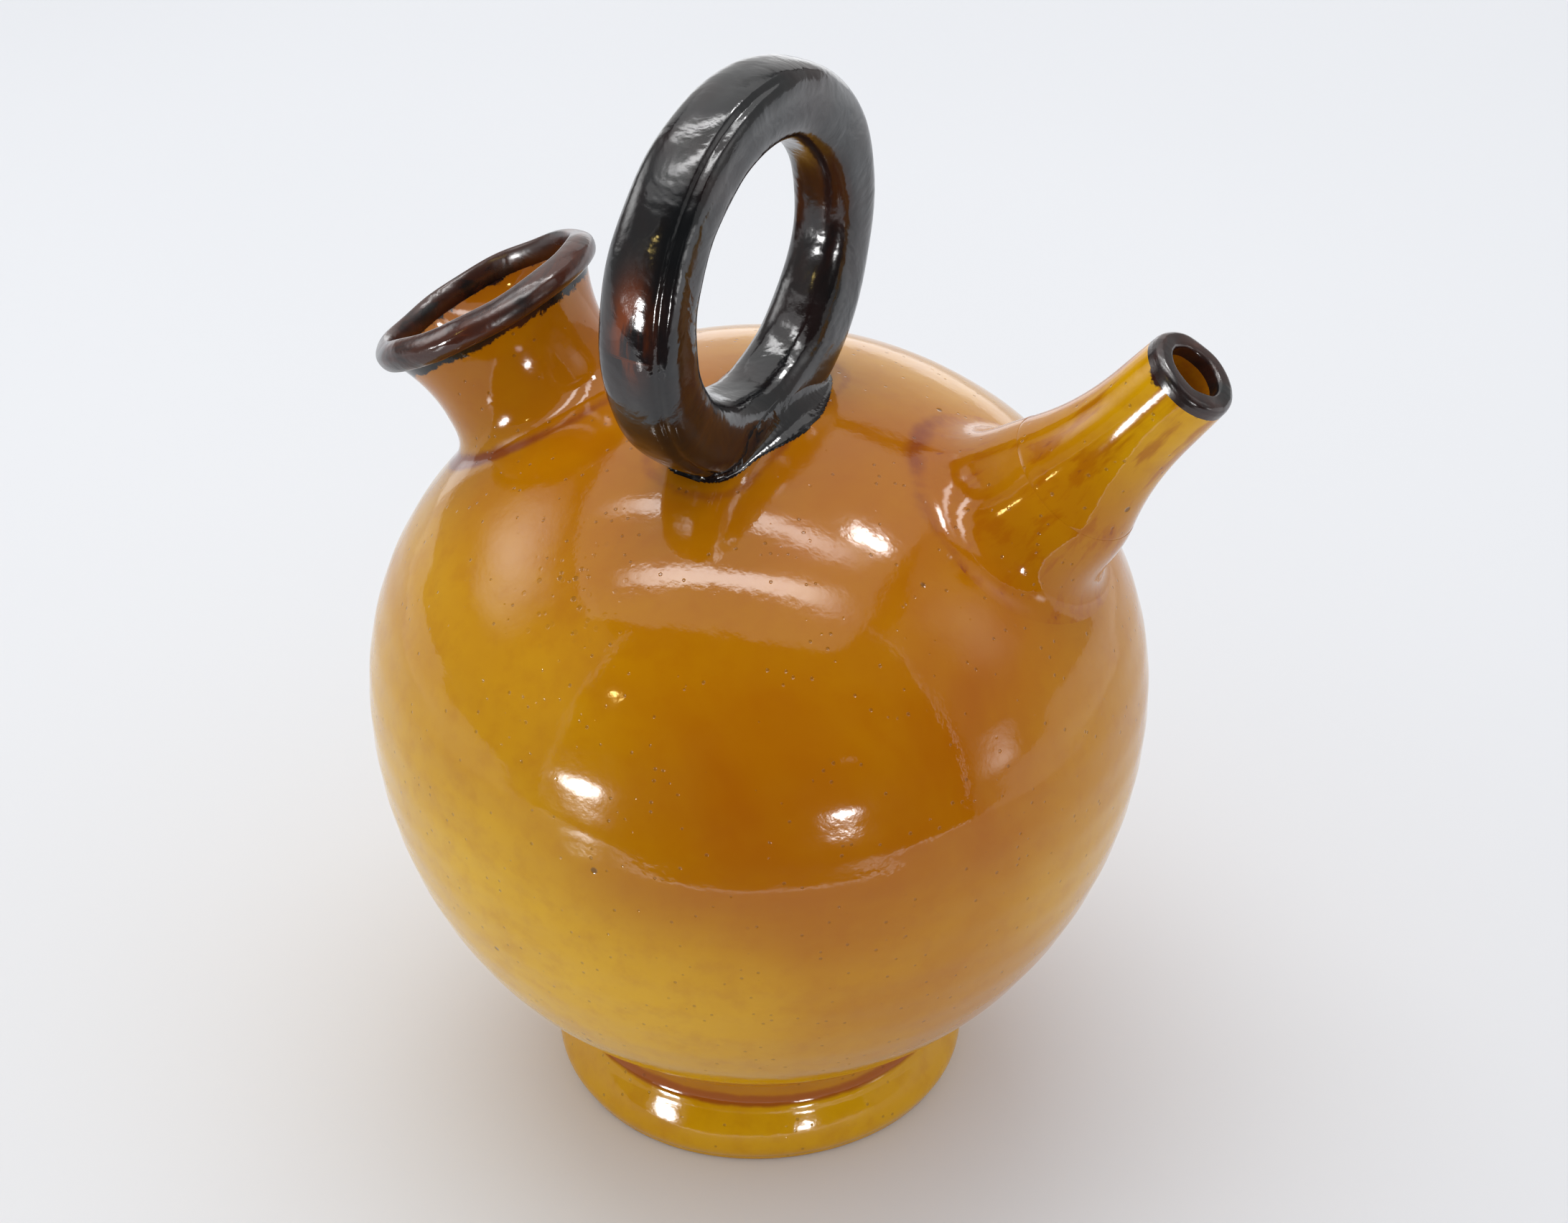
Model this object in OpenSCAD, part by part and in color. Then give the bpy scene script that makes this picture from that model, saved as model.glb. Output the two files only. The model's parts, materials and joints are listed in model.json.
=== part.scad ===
// A hand-thrown, glazed drinking jug: a round hollow body of two bowls on a foot ring, a wide
// filling mouth on one shoulder, a narrow drinking spout on the other, and a ring handle standing
// on the crown.
// Millimetres. +Z is up and +X points to the spout. The origin is the middle of the underside
// that the jug stands on.

/* [Body] */
// Width across the round body
body_d = 125; // [120:1:130]
// Height of the body's widest line above the table
widest_z = 75.5; // [74.5:0.5:76]
// Rise of the crown above the widest line
crown_rise = 53.4; // [52:0.2:55]
// Depth of the lower half's full curve below the widest line
keel_drop = 68.3; // [68:0.1:70]
// How full the shoulder is: 2 is an ellipse, and more is squarer
shoulder_power = 2.08; // [2:0.02:2.12]
// Thickness of the fired clay wall
wall = 4; // [3.5:0.5:4.5]
// Thickness of the floor above the globe's flat base
floor_t = 4.5; // [4:0.5:6]

/* [Foot] */
// Radius of the foot where it meets the table
foot_r = 33.6; // [33:0.1:34.5]
// Height of the foot ring, up to the glaze-filled groove
foot_h = 11.5; // [11:0.1:12]
// How far the side of the foot ring swells outwards
foot_bulge = 0.7; // [0.4:0.1:1.2]
// Radius of the flat underside that the foot ring surrounds
base_r = 27; // [26:0.5:28]
// Rounding of the foot's lower outer edge
foot_edge_r = 1.2; // [0.8:0.1:1.6]

/* [Filling mouth] */
// Direction of the mouth, turned from the spout
mouth_azimuth = 169; // [165:1:180]
// Tilt of the mouth's axis from upright
mouth_tilt = 32.5; // [30:0.5:35]
// Distance of the neck's foot from the body's axis
mouth_reach = 38.8; // [37:0.2:39.4]
// Length of the neck from the body to the rolled lip
neck_len = 16.2; // [15:0.2:18]
// Outer radius of the neck at its waist
neck_waist_r = 14.6; // [14.4:0.1:15.2]
// Outer radius of the neck under the lip
neck_top_r = 17.8; // [17:0.1:18.2]
// Radius of the true round throat
throat_r = 11.5; // [11:0.5:12]
// Radius of the rolled lip's section
lip_roll_r = 2.4; // [2.2:0.1:2.8]

/* [Drinking spout] */
// Tilt of the spout's axis from upright
spout_tilt = 38; // [36:0.5:40]
// Distance of the spout's foot from the body's axis
spout_reach = 44; // [43:0.2:45]
// Length of the spout from the body to its tip
spout_len = 37.8; // [36:0.2:39]
// Outer radius at the tip
spout_tip_r = 7.4; // [7:0.1:7.8]
// Radius added over the spout's length by its straight taper
spout_taper = 1.5; // [1:0.1:1.8]
// Radius added where the trumpet-shaped root reaches the body
spout_root_flare = 8.2; // [7.5:0.1:9]
// Radius of the drinking hole
spout_bore_r = 4.4; // [4:0.1:4.6]
// Length of the dark-dipped end
spout_dip_len = 3; // [2.4:0.2:5]

/* [Ring handle] */
// Radius of the ring's centre line
ring_r = 25.3; // [24.5:0.1:26]
// Half the thickness of the ring, measured towards its centre
ring_half_t = 6; // [5.7:0.1:6.3]
// Half the width of the ring, measured along its own axis
ring_half_w = 6.1; // [5.7:0.1:6.6]
// Turn of the ring's plane from the spout's direction
ring_turn = 74; // [70:1:90]
// Height of the ring's centre above the table
ring_z = 154.6; // [154:0.1:155.5]
// Offset of the ring from the body's axis, across the spout's direction
ring_shift = 6.2; // [5:0.2:8]

/* [Hidden] */

$fn = 96;
honey = "goldenrod";
amber = "darkgoldenrod";
dark = "#2a1712";
seam = "saddlebrown";

body_r = body_d / 2;
// The globe that the added pieces are cut to ends flat below the body's floor
globe_base_z = 8.2;
globe_steps = 30;
curve_steps = 10;
ring_steps = 28;
ring_power = 2.5;

// Part of a half wave, in degrees, that the foot's side and its coil's hollow follow upwards
swell_turn = 150;
foot_coil_h = 5.8;
foot_coil_step = 0.8;
foot_coil_hollow = 1.2;

// Height and radius of the middle of the lip's section, and the inner edge of the neck's top
lip_z = neck_len + lip_roll_r / 2;
lip_r = neck_top_r - 0.6;
neck_top_inner_r = lip_r - 0.9 * lip_roll_r;
neck_waist_z = 4;
throat_top_z = neck_len - 5;
mouth_coil_w = 4;

// Depth that tubes start below the body's surface, before the body's own shape cuts them,
// and the depth at which a coil's outside starts to slope inwards
root_depth = 8;
coil_skirt_z = -2;

// Height where the spout's tube leaves its luting coil
spout_coil_z = 8;
spout_flare_len = 0.75 * spout_len;
spout_flare_power = 2.2;
// The straight bore ends here, and widens as a cone to the chamber
spout_cone_z = spout_len - 20;
spout_cone_r = 7.5;
spout_dip_z = spout_len - spout_dip_len;
spout_edge_r = 1.2;

handle_pad_t = 1.6;
handle_pad_reach = 15;
handle_pad_w = 7.7;

// Height of the body's outer surface above the table at a distance from its axis
function crown_z(reach) =
    widest_z + crown_rise * pow(1 - pow(reach / body_r, shoulder_power), 1 / shoulder_power);

// Outer radius of the neck and of the spout at a height along their axes
function neck_r(z) =
    neck_waist_r + (neck_top_r - neck_waist_r)
    * pow(max(0, z - neck_waist_z) / (neck_len - neck_waist_z), 2);
function spout_r(z) =
    spout_tip_r + spout_taper * (1 - z / spout_len)
    + spout_root_flare * pow(max(0, 1 - z / spout_flare_len), spout_flare_power);

// Outline of the lower half, from an angle below the widest line up to just under that line
function keel_curve(radius, drop, low) =
    [for (i = [0:globe_steps - 1])
        let (a = low * (1 - i / globe_steps))
        [radius * cos(a), widest_z - drop * sin(a)]];

// Outline of the upper half, from the widest line to the middle of the crown
function crown_curve(radius, rise) =
    [for (i = [0:globe_steps])
        let (a = 90 * i / globe_steps)
        [i == globe_steps ? 0 : radius * pow(cos(a), 2 / shoulder_power),
         widest_z + rise * pow(sin(a), 2 / shoulder_power)]];

function reversed(points) = [for (i = [len(points) - 1:-1:0]) points[i]];

// Solid inside the body's outer surface, grown by a margin
module globe(margin = 0) {
    drop = keel_drop + margin;
    rotate_extrude()
        polygon(concat(
            [[0, globe_base_z]],
            keel_curve(body_r + margin, drop, asin((widest_z - globe_base_z) / drop)),
            crown_curve(body_r + margin, crown_rise + margin)
        ));
}

// Places its children on the neck's axis, with their origin on the body's surface
module at_mouth() {
    rotate([0, 0, mouth_azimuth])
        translate([mouth_reach, 0, crown_z(mouth_reach)])
            rotate([0, mouth_tilt, 0])
                children();
}

// Places its children on the spout's axis, with their origin on the body's surface
module at_spout() {
    translate([spout_reach, 0, crown_z(spout_reach)])
        rotate([0, spout_tilt, 0])
            children();
}

// Places its children on the ring's axis line, with their X along the ring's plane
module at_ring(height) {
    translate([0, -ring_shift, height])
        rotate([0, 0, ring_turn])
            children();
}

// Lower half of the body: a bowl with a thick flat base, open at the widest line
module lower_bowl() {
    inner_drop = keel_drop - wall;
    inner_base_z = globe_base_z + floor_t;
    color(honey)
    rotate_extrude()
        polygon(concat(
            [[0, 0], [base_r, 0]],
            keel_curve(body_r, keel_drop, acos(base_r / body_r)),
            [[body_r, widest_z], [body_r - wall, widest_z]],
            reversed(keel_curve(body_r - wall, inner_drop,
                                asin((widest_z - inner_base_z) / inner_drop))),
            [[0, inner_base_z]]
        ));
}

// Upper half of the body: a dome with the two holes that the neck and the spout stand over
module upper_dome() {
    hole_h = 5 * root_depth;
    color(honey)
    difference() {
        rotate_extrude()
            polygon(concat(crown_curve(body_r, crown_rise),
                           reversed(crown_curve(body_r - wall, crown_rise - wall))));
        at_mouth()
            translate([0, 0, -hole_h / 2])
                cylinder(h = hole_h, r = throat_r);
        at_spout()
            translate([0, 0, -hole_h / 2])
                cylinder(h = hole_h, r = spout_cone_r);
    }
}

// Ring round the base, swelling a little between the table and the groove
module foot_ring() {
    color(amber)
    rotate_extrude()
        polygon(concat(
            [[base_r, 0], [foot_r - foot_edge_r, 0]],
            [for (i = [0:curve_steps])
                let (t = i / curve_steps)
                [foot_r + foot_bulge * sin(swell_turn * t),
                 foot_edge_r + (foot_h - foot_edge_r) * t]],
            [[base_r, foot_h]]
        ));
}

// Coil that closes the angle between the foot ring and the body
module foot_luting_coil() {
    coil_r = foot_r + foot_bulge * sin(swell_turn) - foot_coil_step;
    color(seam)
    difference() {
        rotate_extrude()
            polygon(concat(
                [[base_r, foot_h]],
                [for (i = [0:curve_steps])
                    let (t = i / curve_steps)
                    [coil_r - foot_coil_hollow * sin(swell_turn * t), foot_h + foot_coil_h * t]],
                [[base_r, foot_h + foot_coil_h]]
            ));
        globe();
    }
}

// Neck of the filling mouth: a waisted outside and a true round throat that opens under the lip
module mouth_neck() {
    color(honey)
    difference() {
        at_mouth()
            rotate_extrude()
                polygon(concat(
                    [[throat_r, -root_depth], [neck_waist_r, -root_depth]],
                    [for (i = [0:curve_steps])
                        let (z = neck_waist_z + (neck_len - neck_waist_z) * i / curve_steps)
                        [neck_r(z), z]],
                    [[neck_top_inner_r, neck_len], [throat_r, throat_top_z]]
                ));
        globe();
    }
}

// Rolled lip that sits on the neck's top edge
module mouth_lip() {
    color(dark)
    at_mouth()
        rotate_extrude()
            difference() {
                translate([lip_r, lip_z])
                    circle(r = lip_roll_r);
                translate([0, neck_len - 2 * lip_roll_r])
                    square([2 * lip_r, 2 * lip_roll_r]);
            }
}

// Coil that closes the angle round the foot of the neck
module mouth_luting_coil() {
    color(seam)
    difference() {
        at_mouth()
            rotate_extrude()
                polygon(concat(
                    [[neck_waist_r, -root_depth], [neck_waist_r + mouth_coil_w, -root_depth]],
                    [for (i = [0:curve_steps])
                        let (t = i / curve_steps)
                        [neck_waist_r + mouth_coil_w * pow(1 - t, 2),
                         coil_skirt_z + (neck_waist_z - coil_skirt_z) * t]]
                ));
        globe();
    }
}

// Tapering drinking tube with a true round bore that widens towards the chamber
module spout_tube() {
    tube_root_r = spout_r(spout_coil_z);
    color(honey)
    difference() {
        at_spout()
            rotate_extrude()
                polygon(concat(
                    [[spout_cone_r, -root_depth], [tube_root_r, -root_depth]],
                    [for (i = [0:curve_steps])
                        let (z = spout_coil_z + (spout_dip_z - spout_coil_z) * i / curve_steps)
                        [spout_r(z), z]],
                    [[spout_bore_r, spout_dip_z], [spout_bore_r, spout_cone_z],
                     [spout_cone_r, 0]]
                ));
        globe();
    }
}

// Rounded end of the spout, dipped in dark glaze
module spout_tip() {
    tip_wall = spout_tip_r - spout_bore_r;
    color(dark)
    at_spout()
        rotate_extrude()
            union() {
                translate([spout_bore_r, spout_dip_z])
                    square([tip_wall, spout_dip_len - spout_edge_r]);
                translate([spout_bore_r, spout_dip_z])
                    square([tip_wall - spout_edge_r, spout_dip_len]);
                translate([spout_tip_r - spout_edge_r, spout_len - spout_edge_r])
                    circle(r = spout_edge_r);
            }
}

// Trumpet-shaped coil that spreads the foot of the spout over the shoulder
module spout_luting_coil() {
    color(seam)
    difference() {
        at_spout()
            rotate_extrude()
                polygon(concat(
                    [[spout_r(spout_coil_z), -root_depth], [spout_r(coil_skirt_z), -root_depth]],
                    [for (i = [0:curve_steps])
                        let (z = coil_skirt_z + (spout_coil_z - coil_skirt_z) * i / curve_steps)
                        [spout_r(z), z]]
                ));
        globe();
    }
}

// Thick ring with a squarish section, standing across the crown
module ring_solid() {
    at_ring(ring_z)
        rotate([90, 0, 0])
            rotate_extrude()
                polygon([for (i = [0:ring_steps - 1])
                    let (a = 360 * i / ring_steps)
                    [ring_r + ring_half_t * sign(cos(a)) * pow(abs(cos(a)), 2 / ring_power),
                     ring_half_w * sign(sin(a)) * pow(abs(sin(a)), 2 / ring_power)]]);
}

// Ring handle, bedded into the crown
module ring_handle() {
    color(dark)
    difference() {
        ring_solid();
        globe();
    }
}

// Low pad of clay that beds the ring on the crown
module handle_luting_coil() {
    pad_end = handle_pad_reach - handle_pad_w;
    color(dark)
    difference() {
        intersection() {
            globe(handle_pad_t);
            at_ring(widest_z)
                union() {
                    for (side = [-1, 1])
                        translate([side * pad_end, 0, 0])
                            cylinder(h = body_d, r = handle_pad_w);
                    translate([-pad_end, -handle_pad_w, 0])
                        cube([2 * pad_end, 2 * handle_pad_w, body_d]);
                }
        }
        globe();
        ring_solid();
    }
}

lower_bowl();
upper_dome();
foot_ring();
foot_luting_coil();
mouth_neck();
mouth_lip();
mouth_luting_coil();
spout_tube();
spout_tip();
spout_luting_coil();
ring_handle();
handle_luting_coil();
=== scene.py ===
"""Looks of the ring-handled jug: glazed, hand-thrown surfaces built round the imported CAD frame."""

import json
import math

import bmesh
import bpy
import numpy as np
from mathutils import Matrix, Vector
from mathutils.bvhtree import BVHTree


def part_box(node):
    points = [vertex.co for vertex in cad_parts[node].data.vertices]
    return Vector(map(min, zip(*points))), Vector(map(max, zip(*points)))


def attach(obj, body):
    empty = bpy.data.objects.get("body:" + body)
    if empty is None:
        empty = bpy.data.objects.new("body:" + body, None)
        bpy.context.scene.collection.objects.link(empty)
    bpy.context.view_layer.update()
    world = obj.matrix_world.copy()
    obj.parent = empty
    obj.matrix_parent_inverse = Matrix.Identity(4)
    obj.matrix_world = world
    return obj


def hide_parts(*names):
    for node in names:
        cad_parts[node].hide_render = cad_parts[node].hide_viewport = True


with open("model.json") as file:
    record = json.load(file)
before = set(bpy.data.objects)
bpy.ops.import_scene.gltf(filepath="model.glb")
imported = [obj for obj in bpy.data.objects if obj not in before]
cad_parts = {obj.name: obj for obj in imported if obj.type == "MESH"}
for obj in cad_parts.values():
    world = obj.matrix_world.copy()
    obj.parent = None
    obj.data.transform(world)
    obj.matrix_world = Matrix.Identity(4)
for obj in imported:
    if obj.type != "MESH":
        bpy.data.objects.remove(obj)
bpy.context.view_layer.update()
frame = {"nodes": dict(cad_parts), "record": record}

MM = 0.001
TAU = 2 * math.pi
UP = np.array([0.0, 0.0, 1.0])

# ---- Driving sizes, in millimetres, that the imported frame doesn't state by itself ----
WALL = 4.0
SHOULDER_POWER = 2.08
KEEL_DROP = 68.3
INNER_BASE_Z = 12.7
PLUG_R = 27.0

FOOT_H = 11.5
FOOT_R = 33.6
FOOT_EDGE = 1.2
FOOT_BULGE = 1.9
FOOT_HIP = 0.75
FOOT_HIP_Z = 5.6
FOOT_DRAW_IN = 1.25
FOOT_SHOULDER_Z = 9.4
GROOVE_R = 31.6
BAND_TOP_Z = 17.6

THROAT_R = 11.5
NECK_LEN = 16.2
NECK_WAIST_R = 14.6
NECK_WAIST_Z = 4.0
NECK_TOP_R = 17.8
LIP_ROLL = 2.4
MOUTH_MOUNT_Z = 2.9

SPOUT_LEN = 37.8
SPOUT_TIP_R = 7.4
SPOUT_TAPER = 1.5
SPOUT_FLARE = 8.2
SPOUT_BORE_R = 4.4
SPOUT_BORE_LEN = 20.0
SPOUT_CONE_R = 7.5
SPOUT_DIP = 2.4
SPOUT_MOUNT_Z = 27.8

RING_HALF_T = 6.0
RING_HALF_W = 6.0
RING_NARROWING = 0.6


# ---- Numbers and curves ----
def unit(v):
    """The vector, or each row of vectors, at length 1."""
    v = np.asarray(v, float)
    return v / np.linalg.norm(v, axis=-1, keepdims=True)


def smooth_step(low, high, x):
    """0 up to low and 1 from high on, or the other way round where high is under low."""
    t = np.clip((x - low) / (high - low), 0, 1)
    return t * t * (3 - 2 * t)


def hump(x, centre, half_width):
    """A soft bump of height 1."""
    return np.exp(-((x - centre) / half_width) ** 2)


def angle_hump(angle, centre, half_width):
    """A soft bump round a turn."""
    away = (angle - centre + math.pi) % TAU - math.pi
    return np.exp(-(away / half_width) ** 2)


def bezier(p0, p1, p2, p3, steps):
    """Points of a cubic curve; each p may be an array of many points."""
    t = np.linspace(0, 1, steps).reshape((-1,) + (1,) * np.ndim(p0))
    s = 1 - t
    return s**3 * p0 + 3 * s**2 * t * p1 + 3 * s * t**2 * p2 + t**3 * p3


def waves(seed, count, low, high):
    """Random whole-number waves round a turn: (turns, slope, phase, weight) for each."""
    rng = np.random.default_rng(seed)
    turns = rng.integers(low, high + 1, count)
    slope = rng.uniform(-1, 1, count)
    phase = rng.uniform(0, TAU, count)
    weight = rng.uniform(0.5, 1, count) / np.sqrt(turns)
    return turns, slope, phase, weight / weight.sum()


def ripple(wave_set, angle, along):
    """Smooth unevenness between about -1 and 1, round the turn and along the piece."""
    total = 0.0
    for turns, slope, phase, weight in zip(*wave_set):
        total = total + weight * np.sin(turns * angle + slope * along + phase)
    return 2 * total


# ---- Meshes ----
def new_object(name, verts, faces, smooth_angle=40):
    """Object in the scene, with doubled points joined and its faces turned outwards."""
    mesh = bpy.data.meshes.new(name)
    mesh.from_pydata(np.asarray(verts).tolist(), [], faces)
    obj = bpy.data.objects.new(name, mesh)
    bpy.context.scene.collection.objects.link(obj)
    bm = bmesh.new()
    bm.from_mesh(mesh)
    bmesh.ops.remove_doubles(bm, verts=bm.verts, dist=1e-7)
    bmesh.ops.recalc_face_normals(bm, faces=bm.faces)
    bm.to_mesh(mesh)
    bm.free()
    shade_smooth(obj, smooth_angle)
    return obj


def shade_smooth(obj, smooth_angle=40):
    obj.data.polygons.foreach_set("use_smooth", [True] * len(obj.data.polygons))
    obj.data.set_sharp_from_angle(angle=math.radians(smooth_angle))


def loop_faces(rows, columns, first=0):
    """Quads of a grid that closes both ways, so its section is a closed loop."""
    faces = []
    for i in range(rows):
        for j in range(columns):
            a = first + i * columns + j
            b = first + i * columns + (j + 1) % columns
            c = first + (i + 1) % rows * columns + (j + 1) % columns
            d = first + (i + 1) % rows * columns + j
            faces.append((a, b, c, d))
    return faces


def closed_ring(name, grid, smooth_angle=40):
    """A solid from a grid of points [section point][step round the turn]."""
    rows, columns = grid.shape[:2]
    return new_object(name, grid.reshape(-1, 3), loop_faces(rows, columns), smooth_angle)


def polar_shell(rings, bottom, top, first):
    """Points and faces of a closed surface with a pole at each end."""
    rows, columns = rings.shape[:2]
    points = np.vstack([rings.reshape(-1, 3), [bottom], [top]])
    faces = loop_faces(rows, columns, first)[: (rows - 1) * columns]
    low, high = first + rows * columns, first + rows * columns + 1
    for j in range(columns):
        k = (j + 1) % columns
        faces.append((low, first + k, first + j))
        faces.append((high, first + (rows - 1) * columns + j, first + (rows - 1) * columns + k))
    return points, faces


def set_values(obj, **values):
    """Stores numbers per vertex for the materials."""
    count = len(obj.data.vertices)
    for name, numbers in values.items():
        layer = obj.data.attributes.new(name, "FLOAT", "POINT")
        layer.data.foreach_set("value", np.broadcast_to(numbers, (count,)).astype(np.float32))


def vertex_points(obj):
    """The object's points, in metres, one row each."""
    flat = np.empty(len(obj.data.vertices) * 3)
    obj.data.vertices.foreach_get("co", flat)
    return flat.reshape(-1, 3)


def cut_holes(obj, cutters):
    """Drills the cutters out of obj and removes them."""
    for cutter in cutters:
        drill = obj.modifiers.new("drill", "BOOLEAN")
        drill.operation = "DIFFERENCE"
        drill.solver = "EXACT"
        drill.object = cutter
        bpy.context.view_layer.objects.active = obj
        bpy.ops.object.modifier_apply(modifier=drill.name)
        bpy.data.objects.remove(cutter)


# ---- Places taken from the frame ----
class Axis:
    """A slanted line that a neck or spout is turned round, with its zero on the body.

    Angle 0 points outwards and down, away from the jug's middle."""

    def __init__(self, mount, mount_z):
        self.along = unit(mount["axis"])
        self.origin = np.array(mount["pos_m"]) - self.along * mount_z * MM
        self.side = unit(np.cross(UP, self.along))
        self.out = np.cross(self.side, self.along)

    def points(self, radius, height, angle):
        """World points, in metres, from sizes in millimetres and an angle round the axis."""
        radius, height, angle = np.broadcast_arrays(radius, height, angle)
        arm = np.cos(angle)[..., None] * self.out + np.sin(angle)[..., None] * self.side
        return self.origin + (radius[..., None] * arm + height[..., None] * self.along) * MM

    def measure(self, points):
        """Radius and height in millimetres, and angle, of world points."""
        rel = (points - self.origin) / MM
        x, y = rel @ self.out, rel @ self.side
        return np.hypot(x, y), rel @ self.along, np.arctan2(y, x)


mounts = {m["name"]: m for m in frame["record"]["mounts"]}
mouth = Axis(mounts["filling_mouth"], MOUTH_MOUNT_Z)
spout = Axis(mounts["spout_bore"], SPOUT_MOUNT_Z)

bowl_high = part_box("lower_bowl")[1]
dome_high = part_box("upper_dome")[1]
ring_low, ring_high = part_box("ring_handle")
BODY_R = bowl_high.x / MM
WIDEST_Z = bowl_high.z / MM
CROWN_RISE = dome_high.z / MM - WIDEST_Z
BODY_BASE_Z = WIDEST_Z - KEEL_DROP * math.sqrt(1 - (PLUG_R / BODY_R) ** 2)

ring_points = vertex_points(frame["nodes"]["ring_handle"])
ring_spread = ring_points - ring_points.mean(axis=0)
ring_along = unit(np.append(np.linalg.eigh(np.cov(ring_spread[:, :2].T))[1][:, 1], 0))
ring_along = ring_along * np.sign(ring_along[1])
ring_half_span = np.abs(ring_spread @ ring_along).max()
RING_R = ring_half_span / MM - RING_HALF_T
ring_centre = np.array([(ring_low.x + ring_high.x) / 2, (ring_low.y + ring_high.y) / 2,
                        ring_high.z - ring_half_span])
ring_across = np.cross(ring_along, UP)


# ---- Body ----
BODY_WAVES = waves(3, 6, 1, 4)
BODY_UNEVEN = 0.28
THROWING_PITCH = 6.5
THROWING_DEPTH = 0.03
BODY_ROWS = 230
BODY_COLUMNS = 384
INNER_ROWS = 70
INNER_COLUMNS = 128


def body_radius(z, inset=0.0):
    """Radius of the plain globe at a height, in millimetres."""
    upper = np.clip((z - WIDEST_Z) / (CROWN_RISE - inset), 0, 1)
    lower = np.clip((WIDEST_Z - z) / (KEEL_DROP - inset), 0, 1)
    upper_r = (1 - upper**SHOULDER_POWER) ** (1 / SHOULDER_POWER)
    lower_r = np.sqrt(1 - lower**2)
    return (BODY_R - inset) * np.where(z > WIDEST_Z, upper_r, lower_r)


def body_rings(inset, base_z, rows, columns, uneven):
    """Rings of points from the base to just under the middle of the crown."""
    low = math.asin((WIDEST_Z - base_z) / (KEEL_DROP - inset))
    swing = np.linspace(-low, math.pi / 2, rows)[:-1]
    z = np.where(swing > 0,
                 WIDEST_Z + (CROWN_RISE - inset) * np.abs(np.sin(swing)) ** (2 / SHOULDER_POWER),
                 WIDEST_Z + (KEEL_DROP - inset) * np.sin(swing))
    angle = np.linspace(0, TAU, columns, endpoint=False)
    z_grid, a_grid = np.meshgrid(z, angle, indexing="ij")
    radius = body_radius(z_grid, inset)
    fade = uneven * smooth_step(0, 25, radius) * smooth_step(BODY_BASE_Z + 2, 34, z_grid)
    ridge = np.sin(TAU * z_grid / THROWING_PITCH + a_grid)
    radius = radius + fade * (BODY_UNEVEN * ripple(BODY_WAVES, a_grid, z_grid / 22)
                              + THROWING_DEPTH * ridge)
    return np.stack([radius * np.cos(a_grid), radius * np.sin(a_grid), z_grid], -1) * MM


def face_inside(obj, first):
    """Turns the faces whose points come from number first on towards the hollow."""
    bm = bmesh.new()
    bm.from_mesh(obj.data)
    middle = Vector((0, 0, WIDEST_Z * MM))
    flip = [f for f in bm.faces if f.verts[0].index >= first
            and f.normal.dot(f.calc_center_median() - middle) > 0]
    bmesh.ops.reverse_faces(bm, faces=flip)
    bm.to_mesh(obj.data)
    bm.free()


def make_body():
    """The thrown globe, hollow, with the openings under the neck and the spout."""
    outer = body_rings(0, BODY_BASE_Z, BODY_ROWS, BODY_COLUMNS, 1)
    angle = np.linspace(0, TAU, BODY_COLUMNS, endpoint=False)
    plug = np.stack([PLUG_R * np.cos(angle), PLUG_R * np.sin(angle), 0 * angle], -1) * MM
    crown = (WIDEST_Z + CROWN_RISE) * MM
    points, faces = polar_shell(np.concatenate([plug[None], outer]), [0, 0, 0], [0, 0, crown], 0)
    inner = body_rings(WALL, INNER_BASE_Z, INNER_ROWS, INNER_COLUMNS, 0)
    inner_points, inner_faces = polar_shell(inner, [0, 0, INNER_BASE_Z * MM],
                                            [0, 0, crown - WALL * MM], len(points))
    body = new_object("thrown_body", np.vstack([points, inner_points]), faces + inner_faces)
    face_inside(body, len(points))
    holes = []
    for axis, radius in ((mouth, THROAT_R), (spout, SPOUT_CONE_R)):
        bpy.ops.mesh.primitive_cylinder_add(vertices=96, radius=radius * MM, depth=40 * MM)
        cutter = bpy.context.object
        turn = Vector(axis.along).to_track_quat("Z", "Y").to_matrix().to_4x4()
        cutter.matrix_world = Matrix.Translation(axis.origin) @ turn
        holes.append(cutter)
    bpy.context.view_layer.update()
    cut_holes(body, holes)
    shade_smooth(body)
    return body


body = make_body()
body_tree = BVHTree.FromObject(body, bpy.context.evaluated_depsgraph_get())


def drop_on_body(points, direction, back=60.0):
    """Where lines through the points, along direction, first meet the body; and its normals."""
    hits, normals = [], []
    ray = Vector(direction)
    for p in points.reshape(-1, 3):
        start = Vector(p) - ray * back * MM
        place, normal, _, _ = body_tree.ray_cast(start, ray)
        hits.append(place if place else Vector(p))
        normals.append(normal if normal else -ray)
    return np.array(hits).reshape(points.shape), np.array(normals).reshape(points.shape)


# ---- Pieces turned round a slanted axis ----
def turned(axis, profile, columns, wobble):
    """Grid of points from a section of (radius, height) and a wobble of both."""
    angle = np.linspace(0, TAU, columns, endpoint=False)
    radius, angle_grid = np.meshgrid(profile[:, 0], angle, indexing="ij")
    height = np.meshgrid(profile[:, 1], angle, indexing="ij")[0]
    d_radius, d_height = wobble(radius, height, angle_grid)
    return axis.points(radius + d_radius, height + d_height, angle_grid)


FILLET_STEPS = 26
FILLET_PULL = 0.42
FILLET_SINK = 1.2
FILLET_BACK = 1.5


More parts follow.
